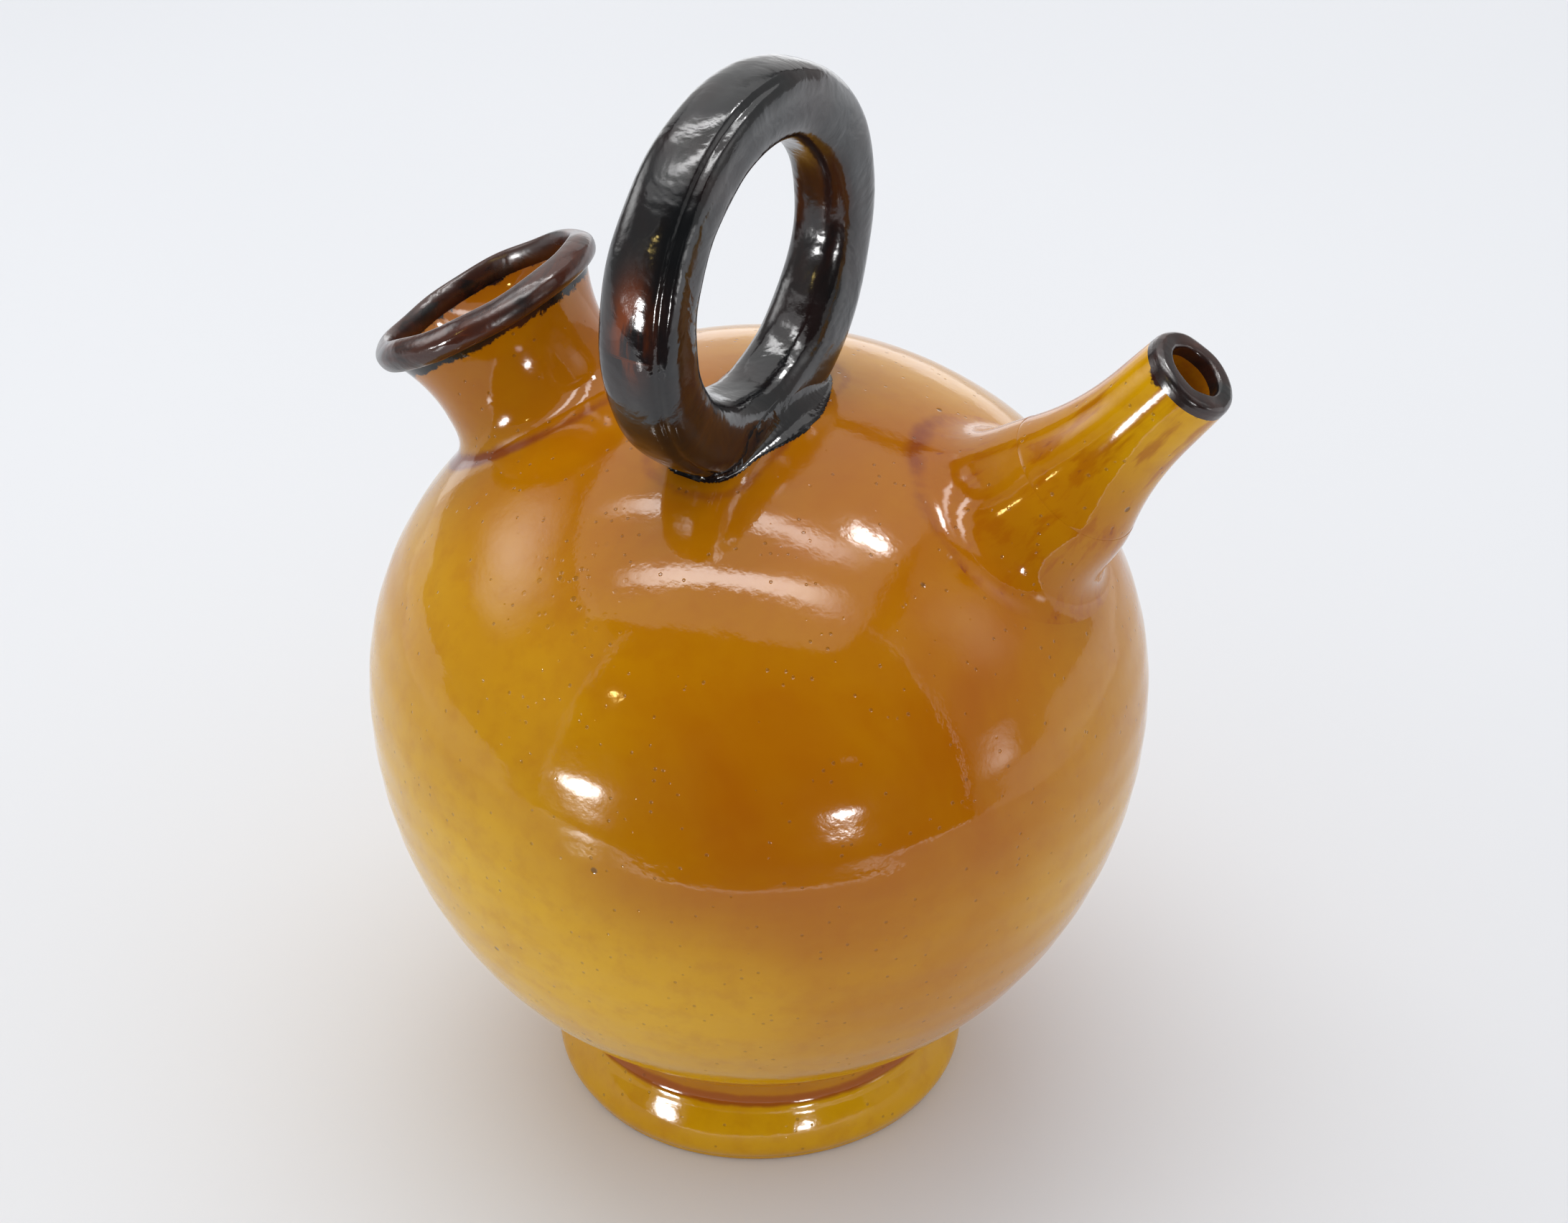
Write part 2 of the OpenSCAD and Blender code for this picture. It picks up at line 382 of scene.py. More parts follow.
def root_fillet(axis, columns, top_z, top_r, top_slope, reach, wobble):
    """Solid that spreads from a turned piece on to the body, tangent to both.

    top_slope is how fast the radius grows towards the body where the fillet begins, and reach
    gives, for an angle, the radius where it runs out on the body."""
    angle = np.linspace(0, TAU, columns, endpoint=False)
    top_d_r, top_d_z = wobble(np.full(columns, top_r), np.full(columns, top_z), angle)
    start = axis.points(top_r + top_d_r, top_z + top_d_z, angle)
    edge, normal = drop_on_body(axis.points(reach(angle), 0, angle), -axis.along)
    arm = unit(axis.points(1.0, 0, angle) - axis.origin)
    slide = unit(normal * np.sum(arm * normal, axis=1, keepdims=True) - arm)
    pull = np.linalg.norm(edge - start, axis=1, keepdims=True) * FILLET_PULL
    curve = bezier(start, start + (arm * top_slope - axis.along) * pull,
                   edge + slide * pull, edge, FILLET_STEPS)
    under_edge = edge - normal * FILLET_SINK * MM
    under_start = axis.points(top_r + top_d_r - FILLET_BACK, top_z + top_d_z, angle)
    under_root = axis.points(top_r - FILLET_BACK, -FILLET_SINK, angle)
    return np.concatenate([curve, under_edge[None], under_root[None], under_start[None]])


# ---- Filling mouth ----
MOUTH_WAVES = waves(11, 6, 1, 3)
LIP_WAVES = waves(12, 8, 2, 8)
MOUTH_COLUMNS = 256
LIP_Z = NECK_LEN + LIP_ROLL / 2
LIP_R = NECK_TOP_R - 0.6
NECK_SPLIT_Z = 5.0
NECK_RIM_Z = NECK_LEN - 0.3
ROOT_Z = -2.5


def mouth_reach(angle):
    """Radius where the clay round the neck runs out: widest on the ring's side."""
    return 18.6 - 1.3 * np.cos(angle - 0.35) + 0.35 * ripple(MOUTH_WAVES, angle, 2.0)


def neck_radius(z):
    """Outside of the neck: straight up to its waist, then flaring to the lip."""
    rise = np.clip((z - NECK_WAIST_Z) / (NECK_LEN - NECK_WAIST_Z), 0, 1)
    return NECK_WAIST_R + (NECK_TOP_R - NECK_WAIST_R) * rise**2


def mouth_wobble(radius, height, angle):
    """Hand-made unevenness, the same at every radius and most at the lip."""
    grow = smooth_step(0, NECK_LEN, height)
    lip = smooth_step(NECK_LEN - 3, NECK_LEN + 1, height)
    d_radius = 0.2 * grow * ripple(MOUTH_WAVES, angle, height / 9)
    d_radius = d_radius + 0.13 * lip * ripple(LIP_WAVES, angle, height / 4)
    d_height = 0.25 * lip * ripple(LIP_WAVES, angle + 1.0, 0)
    return d_radius, d_height


def make_neck():
    """Waisted tube: outside up to the lip, inside down to the throat."""
    z_up = np.linspace(ROOT_Z, NECK_RIM_Z, 40)
    outside = np.stack([neck_radius(z_up), z_up], -1)
    rim_r = LIP_R - 0.35 * LIP_ROLL
    z_down = np.linspace(NECK_RIM_Z, NECK_LEN - 9, 18)
    flare = THROAT_R + (rim_r - THROAT_R) * smooth_step(NECK_LEN - 10, NECK_LEN + 1, z_down)
    inside = np.stack([flare, z_down], -1)
    z_throat = np.linspace(NECK_LEN - 10, ROOT_Z, 12)
    throat = np.stack([np.full(12, THROAT_R), z_throat], -1)
    section = np.concatenate([outside, inside, throat])
    return closed_ring("filling_neck", turned(mouth, section, MOUTH_COLUMNS, mouth_wobble))


def make_lip():
    """Rolled rim: turned down on the outside, with a narrow crest and a thinner inner edge."""
    turn = np.linspace(0, TAU, 48, endpoint=False)
    outward, upward = np.cos(turn), np.sin(turn)
    radius = LIP_R + LIP_ROLL * outward * np.where(outward > 0, 1.0, 0.5)
    droop = 1.0 + 0.3 * (outward > 0) * outward
    height = LIP_Z + LIP_ROLL * upward * np.where(upward > 0, 0.95 - 0.2 * outward, droop)
    section = np.stack([radius, height], -1)
    return closed_ring("rolled_lip", turned(mouth, section, MOUTH_COLUMNS, mouth_wobble))


def make_mouth_fillet():
    """Luting coil smoothed into the angle between neck and body."""
    grid = root_fillet(mouth, MOUTH_COLUMNS, NECK_SPLIT_Z, float(neck_radius(NECK_SPLIT_Z)), 0.0,
                       mouth_reach, mouth_wobble)
    return closed_ring("neck_luting_coil", grid)


# ---- Drinking spout ----
SPOUT_WAVES = waves(21, 6, 1, 4)
SPOUT_COLUMNS = 224
SPOUT_SPLIT_Z = 10.0
SPOUT_EDGE_R = 1.2
SPOUT_MOUTH_EDGE_R = 0.7
SPOUT_ROOT_Z = -1.5


def spout_reach(angle):
    """Radius where the spout's root runs out: widest on the ring's side."""
    return 19.6 - 1.9 * np.cos(angle) + 0.5 * ripple(SPOUT_WAVES, angle, 1.0)


def spout_radius(z):
    """Outside of the spout: a slow taper, with a trumpet flare at the root."""
    flare = np.clip(1 - z / (0.75 * SPOUT_LEN), 0, 1) ** 2.2
    return SPOUT_TIP_R + SPOUT_TAPER * (1 - z / SPOUT_LEN) + SPOUT_FLARE * flare


def spout_slope(z, step=0.01):
    """How fast the spout widens towards the body at a height."""
    return float(spout_radius(z - step) - spout_radius(z + step)) / (2 * step)


def spout_wobble(radius, height, angle):
    """Hand-made unevenness of the outside, with none in the bore."""
    outside = smooth_step(SPOUT_BORE_R, SPOUT_TIP_R, radius)
    end = smooth_step(SPOUT_LEN - 4, SPOUT_LEN, height)
    d_radius = (0.2 - 0.12 * end) * outside * ripple(SPOUT_WAVES, angle, height / 8)
    d_height = 0.08 * end * ripple(SPOUT_WAVES, 2 * angle + 0.5, 0)
    return d_radius, d_height


def make_spout():
    """Tapering tube, with a straight bore that widens towards the chamber."""
    dip_z = SPOUT_LEN - SPOUT_DIP
    cone_top_z = SPOUT_LEN - SPOUT_BORE_LEN
    z_up = np.linspace(SPOUT_ROOT_Z, dip_z, 56)
    tucked = spout_radius(SPOUT_SPLIT_Z) - 0.25 * (1 - z_up / SPOUT_SPLIT_Z)
    outside = np.stack([np.where(z_up < SPOUT_SPLIT_Z, tucked, spout_radius(z_up)), z_up], -1)
    bore = np.stack([np.full(16, SPOUT_BORE_R), np.linspace(dip_z, cone_top_z, 16)], -1)
    z_cone = np.linspace(cone_top_z - 1, SPOUT_ROOT_Z, 16)
    widening = smooth_step(cone_top_z, 0, z_cone)
    cone_r = SPOUT_BORE_R + (SPOUT_CONE_R - SPOUT_BORE_R) * widening
    section = np.concatenate([outside, bore, np.stack([cone_r, z_cone], -1)])
    return closed_ring("drinking_spout", turned(spout, section, SPOUT_COLUMNS, spout_wobble))


def corner_arc(centre_r, centre_z, radius, first, last, steps):
    """Rounded corner of a section, between two angles."""
    turn = np.linspace(first, last, steps)
    return np.stack([centre_r + radius * np.cos(turn), centre_z + radius * np.sin(turn)], -1)


def make_spout_tip():
    """Rounded end of the tube."""
    base_z = SPOUT_LEN - SPOUT_DIP
    z_side = np.linspace(base_z, SPOUT_LEN - SPOUT_EDGE_R, 10)[:-1]
    side = np.stack([spout_radius(z_side), z_side], -1)
    outer_edge = corner_arc(SPOUT_TIP_R - SPOUT_EDGE_R, SPOUT_LEN - SPOUT_EDGE_R, SPOUT_EDGE_R,
                            0, math.pi / 2, 8)
    inner_edge = corner_arc(SPOUT_BORE_R + SPOUT_MOUTH_EDGE_R, SPOUT_LEN - SPOUT_MOUTH_EDGE_R,
                            SPOUT_MOUTH_EDGE_R, math.pi / 2, math.pi, 7)
    z_bore = np.linspace(SPOUT_LEN - SPOUT_MOUTH_EDGE_R, base_z, 8)[1:]
    bore = np.stack([np.full(7, SPOUT_BORE_R), z_bore], -1)
    section = np.concatenate([side, outer_edge, inner_edge, bore])
    return closed_ring("spout_tip_ring", turned(spout, section, SPOUT_COLUMNS, spout_wobble))


def make_spout_fillet():
    """Luting coil drawn out from the spout's root over the body."""
    grid = root_fillet(spout, SPOUT_COLUMNS, SPOUT_SPLIT_Z, float(spout_radius(SPOUT_SPLIT_Z)),
                       spout_slope(SPOUT_SPLIT_Z), spout_reach, spout_wobble)
    return closed_ring("spout_luting_skirt", grid)


# ---- Foot ----
FOOT_WAVES = waves(31, 6, 1, 5)
FOOT_COLUMNS = 320
FOOT_UNEVEN = 0.14
SEAT_GAP = 0.2
BAND_STEPS = 24


def upright(section, uneven, wave_shift):
    """Grid of points round the upright axis from a section of (radius, height)."""
    angle = np.linspace(0, TAU, FOOT_COLUMNS, endpoint=False)
    r_grid, a_grid = np.meshgrid(section[:, 0], angle, indexing="ij")
    z_grid = np.meshgrid(section[:, 1], angle, indexing="ij")[0]
    r_grid = r_grid + uneven[:, None] * ripple(FOOT_WAVES, a_grid, z_grid / 6 + wave_shift)
    return np.stack([r_grid * np.cos(a_grid), r_grid * np.sin(a_grid), z_grid], -1) * MM


def make_foot():
    """Convex roll that the jug stands on, drawn in towards the top and into the groove."""
    edge = corner_arc(FOOT_R - FOOT_EDGE, FOOT_EDGE, FOOT_EDGE, -math.pi / 2, 0, 7)[:-1]
    top = np.array([FOOT_R - FOOT_DRAW_IN, FOOT_SHOULDER_Z])
    side = bezier(np.array([FOOT_R, FOOT_EDGE]), np.array([FOOT_R + FOOT_BULGE, FOOT_EDGE + 2]),
                  np.array([FOOT_R + FOOT_HIP, FOOT_HIP_Z]), top, 30)
    shoulder = bezier(top, top + np.array([-0.45, 1.15]),
                      np.array([GROOVE_R + 0.1, FOOT_H - 0.25]), np.array([GROOVE_R - 1, FOOT_H]),
                      12)[1:]
    seat_r = PLUG_R + SEAT_GAP
    back = np.array([[PLUG_R + 3.5, FOOT_H - 0.2], [seat_r, FOOT_H - 1.5],
                     [seat_r, 0.0], [PLUG_R + 2, 0.0]])
    section = np.concatenate([edge, side, shoulder, back])
    front_steps = len(section) - len(back)
    uneven = np.concatenate([np.full(front_steps, FOOT_UNEVEN), np.zeros(len(back))])
    return closed_ring("foot_roll", upright(section, uneven, 0))


def make_foot_fillet():
    """Slightly hollow band from the groove up to the body."""
    top_r = float(body_radius(np.array(BAND_TOP_Z)))
    start = np.array([GROOVE_R, FOOT_H - 0.5])
    end = np.array([top_r, BAND_TOP_Z])
    curve = bezier(start, start + np.array([-0.9, 1.6]), end - np.array([1.5, 1.1]), end,
                   BAND_STEPS)
    back = np.array([[top_r - 1.6, BAND_TOP_Z - 0.6], [PLUG_R + 3, FOOT_H - 0.5]])
    section = np.concatenate([curve, back])
    uneven = np.concatenate([np.linspace(FOOT_UNEVEN, 0, BAND_STEPS), np.zeros(len(back))])
    return closed_ring("foot_luting_band", upright(section, uneven, 0))


# ---- Ring handle ----
RING_WAVES = waves(41, 9, 1, 6)
DENT_WAVES = waves(42, 12, 4, 13)
RING_COLUMNS = 420
SECTION_STEPS = 96
RING_POWER = 2.9
RING_SINK = 2.4
SKIRT_THIN = 1.0
SKIRT_FULL = 4.0
SKIRT_HIGHEST = 4.0
SKIRT_LAYER = 0.05
SKIRT_COVER = 0.02
SKIRT_UNDER = 0.8


def ring_section(corner):
    """Squarish section: thickness towards the ring's centre, and width across it."""
    c, s = np.cos(corner), np.sin(corner)
    thick = np.sign(c) * np.abs(c) ** (2 / RING_POWER)
    wide = np.sign(s) * np.abs(s) ** (2 / RING_POWER)
    return thick, wide


def ring_half_width(angle):
    """The ring is widest on the front limb, and narrower on the back one."""
    return RING_HALF_W - RING_NARROWING * np.cos(angle)


def crown_height(points):
    """Height of the crown's surface under or over the points, in metres."""
    reach = np.clip(np.hypot(points[..., 0], points[..., 1]) / MM / BODY_R, 0, 1)
    rise = CROWN_RISE * (1 - reach**SHOULDER_POWER) ** (1 / SHOULDER_POWER)
    return (WIDEST_Z + rise) * MM


def make_ring():
    """Pulled coil bent to a ring and pressed on to the crown."""
    corner = np.linspace(0, TAU, SECTION_STEPS, endpoint=False)
    angle = np.linspace(-math.pi / 2, 1.5 * math.pi, RING_COLUMNS, endpoint=False)
    corner_grid, angle_grid = np.meshgrid(corner, angle, indexing="ij")
    thick, wide = ring_section(corner_grid + 0.1 * ripple(RING_WAVES, angle_grid, 0))
    front_limb = smooth_step(1.2, 1.9, angle_grid) * smooth_step(4.5, 3.9, angle_grid)
    crease = 0.45 * front_limb * angle_hump(corner_grid, 0.72, 0.14)
    swell = 0.14 * ripple(RING_WAVES, angle_grid, 2.5)
    dent = 0.16 * ripple(DENT_WAVES, angle_grid, 2.2 * np.sin(corner_grid + 0.8)) - crease
    radius = RING_R + (RING_HALF_T + swell + dent) * thick
    width = (ring_half_width(angle_grid) + swell + dent) * wide
    arm = np.cos(angle_grid)[..., None] * ring_along + np.sin(angle_grid)[..., None] * UP
    points = ring_centre + (radius[..., None] * arm + width[..., None] * ring_across) * MM
    floor = crown_height(points) - RING_SINK * MM
    points[..., 2] = np.maximum(points[..., 2], floor)
    return closed_ring("ring_handle_loop", points)


def ring_measure(points):
    """Place in the ring: angle round it, and millimetres outwards and across its section."""
    rel = (points - ring_centre) / MM
    along = rel @ ring_along
    return np.arctan2(rel[..., 2], along), np.hypot(along, rel[..., 2]) - RING_R, rel @ ring_across


def ring_distance(points):
    """Rough distance from the ring's surface, in millimetres, negative inside it."""
    angle, outwards, across = ring_measure(points)
    size = (np.abs(outwards / RING_HALF_T) ** RING_POWER
            + np.abs(across / ring_half_width(angle)) ** RING_POWER) ** (1 / RING_POWER)
    return (size - 1) * RING_HALF_T


def make_ring_fillet():
    """Dark skirt that beds the ring: as thick as a soft blend of ring and crown makes it."""
    along = np.linspace(-21, 21, 170)
    across = np.linspace(-11, 12, 110)
    a_grid, c_grid = np.meshgrid(along, across, indexing="ij")
    blend = SKIRT_THIN + (SKIRT_FULL - SKIRT_THIN) * (
        smooth_step(-3, 5, c_grid) * smooth_step(-10, 2, a_grid) * smooth_step(18, 5, a_grid))
    base = ring_centre * [1, 1, 0] + (a_grid[..., None] * ring_along
                                      + c_grid[..., None] * ring_across) * MM
    hits, normals = drop_on_body(base + UP * (WIDEST_Z + CROWN_RISE) * MM, -UP)
    height = np.full(a_grid.shape, SKIRT_HIGHEST)
    done = np.zeros(a_grid.shape, bool)
    for lift in np.arange(0.0, SKIRT_HIGHEST, SKIRT_LAYER):
        gap = ring_distance(hits + normals * lift * MM)
        overlap = np.clip(blend - np.abs(lift - gap), 0, None) / blend
        soft = np.minimum(lift, gap) - overlap**2 * blend / 4
        reached = (soft >= 0) & ~done
        height[reached] = lift
        done |= reached
    top = hits + normals * (height[..., None] + SKIRT_COVER) * MM
    under = hits - normals * SKIRT_UNDER * MM
    return grid_slab("ring_luting_skirt", top, under, height > 0.03)


def grid_slab(name, top, under, keep):
    """Closed slab between two grids of points, over the cells whose corners are all kept."""
    whole = keep[:-1, :-1] & keep[1:, :-1] & keep[:-1, 1:] & keep[1:, 1:]
    cells = [tuple(cell) for cell in np.argwhere(whole)]
    used = sorted({(i + di, j + dj) for i, j in cells for di in (0, 1) for dj in (0, 1)})
    index = {place: number for number, place in enumerate(used)}
    count = len(used)
    points = np.array([top[place] for place in used] + [under[place] for place in used])
    edge_use = {}
    faces = []
    for i, j in cells:
        quad = [index[i, j], index[i + 1, j], index[i + 1, j + 1], index[i, j + 1]]
        faces.append(tuple(quad))
        faces.append(tuple(count + v for v in reversed(quad)))
        for a, b in zip(quad, quad[1:] + quad[:1]):
            edge_use.setdefault((min(a, b), max(a, b)), []).append((a, b))
    for uses in edge_use.values():
        if len(uses) == 1:
            a, b = uses[0]
            faces.append((b, a, count + a, count + b))
    return new_object(name, points, faces, 60)


# ---- Materials ----
class Nodes:
    """Short names for the shader nodes that the glazes use.

    A noise's scale is in features per metre, and a bump's distance is in metres."""

    def __init__(self, name):
        self.material = bpy.data.materials.new(name)
        self.material.use_nodes = True
        self.tree = self.material.node_tree
        self.shader = self.tree.nodes["Principled BSDF"]
        self.place = self.add("ShaderNodeTexCoord").outputs["Object"]

    def add(self, kind, **settings):
        node = self.tree.nodes.new(kind)
        for key, value in settings.items():
            setattr(node, key, value)
        return node

    def feed(self, socket, value):
        """Links a socket, or sets it to a number or a colour."""
        if isinstance(value, tuple):
            socket.default_value = (*value, 1.0)
        elif isinstance(value, (int, float)):
            socket.default_value = value
        else:
            self.tree.links.new(value, socket)

    def noise(self, per_metre, detail=4.0, roughness=0.5, distortion=0.0, source=None):
        node = self.add("ShaderNodeTexNoise")
        self.feed(node.inputs["Vector"], source or self.place)
        self.feed(node.inputs["Scale"], per_metre)
        self.feed(node.inputs["Detail"], detail)
        self.feed(node.inputs["Roughness"], roughness)
        self.feed(node.inputs["Distortion"], distortion)
        return node.outputs["Fac"]

    def stretched(self, turn, scale):
        """Places measured in a turned frame whose axes are stretched by scale."""
        node = self.add("ShaderNodeMapping", vector_type="TEXTURE")
        node.inputs["Rotation"].default_value = turn
        node.inputs["Scale"].default_value = scale
        self.feed(node.inputs["Vector"], self.place)
        return node.outputs["Vector"]

    def strand(self):
        """Places along and across a bent roll, from values that its points carry."""
        node = self.add("ShaderNodeCombineXYZ")
        for socket, name in zip(node.inputs, ("arc", "section_x", "section_y")):
            self.feed(socket, self.value(name))
        return node.outputs["Vector"]

    def spots(self, per_metre, share, radius, soft):
        """Small round spots in a share of the cells of a random pattern."""
        node = self.add("ShaderNodeTexVoronoi", feature="F1")
        self.feed(node.inputs["Scale"], per_metre)
        self.feed(node.inputs["Vector"], self.place)
        pick = self.add("ShaderNodeSeparateColor")
        self.feed(pick.inputs[0], node.outputs["Color"])
        chosen = self.ramp(pick.outputs[0], 1 - share, 1 - 0.7 * share)
        return self.math("MULTIPLY", self.ramp(node.outputs["Distance"], radius, soft), chosen)

    def value(self, name):
        """A number that the piece's points carry, or 0 where they carry none."""
        return self.add("ShaderNodeAttribute", attribute_name=name).outputs["Fac"]

    def math(self, operation, a, b):
        node = self.add("ShaderNodeMath", operation=operation)
        self.feed(node.inputs[0], a)
        self.feed(node.inputs[1], b)
        return node.outputs[0]

    def ramp(self, source, low, high, to_low=0.0, to_high=1.0):
        """Softly turns the source's range from low to high into another range."""
        node = self.add("ShaderNodeMapRange", interpolation_type="SMOOTHSTEP")
        self.feed(node.inputs["Value"], source)
        for key, value in (("From Min", low), ("From Max", high),
                           ("To Min", to_low), ("To Max", to_high)):
            self.feed(node.inputs[key], value)
        return node.outputs["Result"]

    def mix(self, factor, a, b):
        node = self.add("ShaderNodeMix", data_type="RGBA")
        self.feed(node.inputs[0], factor)
        self.feed(node.inputs[6], a)
        self.feed(node.inputs[7], b)
        return node.outputs[2]

    def share(self, factor, amount):
        """A factor weakened to a part of itself."""
        return self.math("MULTIPLY", factor, amount)

    def jitter(self, noise, amount):
        """A noise made to run from about minus to plus the amount."""
        return self.math("MULTIPLY", self.math("SUBTRACT", noise, 0.5), 2 * amount)

    def bump(self, height, distance, strength, after=None):
        node = self.add("ShaderNodeBump")
        self.feed(node.inputs["Strength"], strength)
        self.feed(node.inputs["Distance"], distance)
        self.feed(node.inputs["Height"], height)
        if after is not None:
            self.feed(node.inputs["Normal"], after)
        return node.outputs["Normal"]


HONEY_DEEP = (0.40, 0.113, 0.0010)
HONEY_MID = (0.50, 0.180, 0.0010)
HONEY_YELLOW = (0.76, 0.425, 0.0020)
SPOUT_YELLOW = (0.70, 0.360, 0.0030)
FOOT_YELLOW = (0.72, 0.400, 0.0010)
POOL_RED = (0.36, 0.085, 0.0080)
SEAM_RED = (0.24, 0.045, 0.012)
CLAY_SPECK = (0.10, 0.050, 0.020)
DARK_BODY = (0.006, 0.007, 0.008)
DARK_BROWN = (0.045, 0.013, 0.009)
DARK_THIN = (0.210, 0.040, 0.003)


def glaze(name, deep, light, seam, streak_turn=None):
    """Honey lead glaze: mottled, deeper where it is thick, with specks and pits.

    The points carry pool, how much the glaze has run into an angle; dip, the millimetres past the
    edge of the dark-dipped end; pale, where it is thinner, which on the body's filling side also
    holds painted light; and, on the body only, pitted."""
    n = Nodes(name)
    cloud = n.jitter(n.noise(30, 4, 0.6, 0.3), 0.28)
    colour = n.mix(n.math("ADD", n.value("pale"), cloud), deep, light)
    fine = n.noise(240, 5, 0.62)
    colour = n.mix(n.share(n.ramp(fine, 0.42, 0.75), 0.22), colour, HONEY_DEEP)
    brushed = n.noise(60, 4, 0.6, 0.2, n.stretched((0, 0, 0), (5, 5, 1)))
    colour = n.mix(n.share(n.ramp(brushed, 0.50, 0.78), 0.20), colour, HONEY_DEEP)
    if streak_turn is not None:
        streak = n.noise(330, 4, 0.6, 0.3, n.stretched(streak_turn, (1, 1, 8)))
        colour = n.mix(n.share(n.ramp(streak, 0.50, 0.64), 0.70), colour, HONEY_DEEP)
        colour = n.mix(n.share(n.ramp(streak, 0.66, 0.72), 0.60), colour, seam)
    pooled = n.math("ADD", n.value("pool"), n.jitter(n.noise(150, 4, 0.6), 0.55))
    colour = n.mix(n.share(n.ramp(pooled, 0.25, 0.95), 0.90), colour, seam)
    speck = n.spots(150, 0.14, 0.100, 0.05)
    fleck = n.spots(800, 0.14, 0.26, 0.14)
    pit = n.math("MULTIPLY", n.spots(620, 0.75, 0.32, 0.20), n.value("pitted"))
    fleck = n.math("MAXIMUM", fleck, pit)
    colour = n.mix(n.share(speck, 0.70), colour, CLAY_SPECK)
    colour = n.mix(n.share(fleck, 0.35), colour, CLAY_SPECK)
    ragged = n.math("ADD", n.value("dip"), n.jitter(n.noise(330, 4, 0.65), 2.2))
    dark = n.mix(n.ramp(n.noise(90, 3, 0.6), 0.45, 0.65), DARK_BODY, DARK_BROWN)
    n.feed(n.shader.inputs["Base Color"], n.mix(n.ramp(ragged, -0.3, 0.15), colour, dark))
    n.feed(n.shader.inputs["IOR"], 1.40)
    n.feed(n.shader.inputs["Roughness"], n.ramp(n.noise(45, 3, 0.6), 0.3, 0.7, 0.04, 0.11))
    waviness = n.bump(n.noise(42, 2, 0.4), 0.0009, 0.45)
    peel = n.bump(n.noise(420, 3, 0.55), 0.00007, 0.5, waviness)
    n.feed(n.shader.inputs["Normal"], n.bump(n.math("SUBTRACT", 0.0, n.math("ADD", speck, fleck)),
                                             0.00012, 0.6, peel))
    return n.material


def dark_glaze(name, brown, rough_low, rough_high):
    """Brown-black glaze that shows red-brown where it runs thin.

    The points carry thin, where the glaze has drawn away, and their places in the roll."""
    n = Nodes(name)
    strand = n.strand()
    streak = n.noise(230, 4, 0.6, 0.5, strand)
    cloud = n.noise(60, 3, 0.55, 0.3)
    colour = n.mix(n.share(n.ramp(cloud, 0.35, 0.7), brown), DARK_BODY, DARK_BROWN)
    thin = n.math("MULTIPLY", n.value("thin"), n.ramp(streak, 0.36, 0.54))
    stray = n.share(n.math("MULTIPLY", n.ramp(streak, 0.60, 0.72), n.ramp(cloud, 0.5, 0.65)), 0.4)
    colour = n.mix(n.ramp(n.math("ADD", thin, stray), 0.0, 1.0), colour, DARK_THIN)
    n.feed(n.shader.inputs["Base Color"], colour)
    n.feed(n.shader.inputs["IOR"], 1.58)
    n.feed(n.shader.inputs["Roughness"],
           n.ramp(n.noise(85, 3, 0.6), 0.3, 0.7, rough_low, rough_high))
    waviness = n.bump(n.noise(120, 3, 0.5, 0.5), 0.0011, 0.4)
    n.feed(n.shader.inputs["Normal"], n.bump(n.noise(800, 4, 0.6), 0.00006, 0.6, waviness))
    return n.material


# ---- Put the pieces together ----
def finish_piece(obj, material, slot, *nodes):
    """Gives a piece its glaze, hangs it under the root and hides the CAD nodes it stands for."""
    obj.data.materials.clear()
    obj.data.materials.append(material)
    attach(obj, "root")
    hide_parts(*nodes)


def body_pale_and_painted_light(points):
    """Paler and yellower low down, where the glaze is thinner, and most of all on the filling side,
    where part of the paleness is painted light falling from the left.
    """
    x, y, z = points.T / MM
    # Painted light: the filling side is given a paler tone, as where the light falls on it from the
    # left.
    filling_side = smooth_step(16 + 30 * smooth_step(80, 60, z), -28, x)
    on_filling_side = 0.12 + 0.42 * smooth_step(122, 104, z) + 0.44 * smooth_step(98, 68, z)
    on_spout_side = 0.09 + 0.24 * smooth_step(84, 62, z) + 0.26 * smooth_step(42, 62, x)
    behind = 0.35 * smooth_step(-5, 30, y) * smooth_step(95, 115, z)
    return filling_side * on_filling_side + (1 - filling_side) * on_spout_side + behind


def mouth_seam(points):
    """The glaze pools round the neck's root most at the front."""
    radius, _, angle = mouth.measure(points)
    most = 0.5 + 0.8 * angle_hump(angle, 1.1, 1.1)
    return most * hump(radius, mouth_reach(angle) - 0.3, 1.7)


def spout_seam(points):
    """The glaze pools round the spout's root most on the ring's side."""
    radius, _, angle = spout.measure(points)
    most = 0.10 + 0.75 * angle_hump(angle, math.pi, 0.55) + 0.30 * angle_hump(angle, -2.0, 0.5)
    return most * hump(radius, spout_reach(angle) - 0.5, 2.0)


def ring_halo(points):
    """Red-brown edge where the ring's dark skirt ends on the crown."""
    return 0.6 * hump(ring_distance(points), SKIRT_FULL * 0.7, 1.2)


def root_pale(points, axis, above, top_z):
    """Tone of a fillet: the body's at its edge, and the tube's where it meets the tube."""
    rise = smooth_step(-2, top_z, axis.measure(points)[1])
    return (1 - rise) * body_pale_and_painted_light(points) + rise * above


def on_shoulder(points):
    """Which points are over the body's widest line."""
    return points[:, 2] > WIDEST_Z * MM


def paint_strand(obj, arc, x, y, thin):
    """Stores where each point lies along and across a roll, and how thin its glaze is."""
    set_values(obj, arc=arc * MM, section_x=x * MM, section_y=y * MM, thin=thin)


def paint_ring(obj):
    """Glaze drawn thin low on the front limb's outside and along the back limb's inside."""
    angle, outwards, across = ring_measure(vertex_points(obj))
    front = angle_hump(angle, math.radians(171), 0.24) * smooth_step(1, 4, outwards)
    front = front * hump(across, 0.5, 3.2)
    back = angle_hump(angle, 0.15, 0.75) * smooth_step(-1, -4, outwards)
    paint_strand(obj, 0.22 * angle * RING_R, outwards, across, front + 0.2 * back)


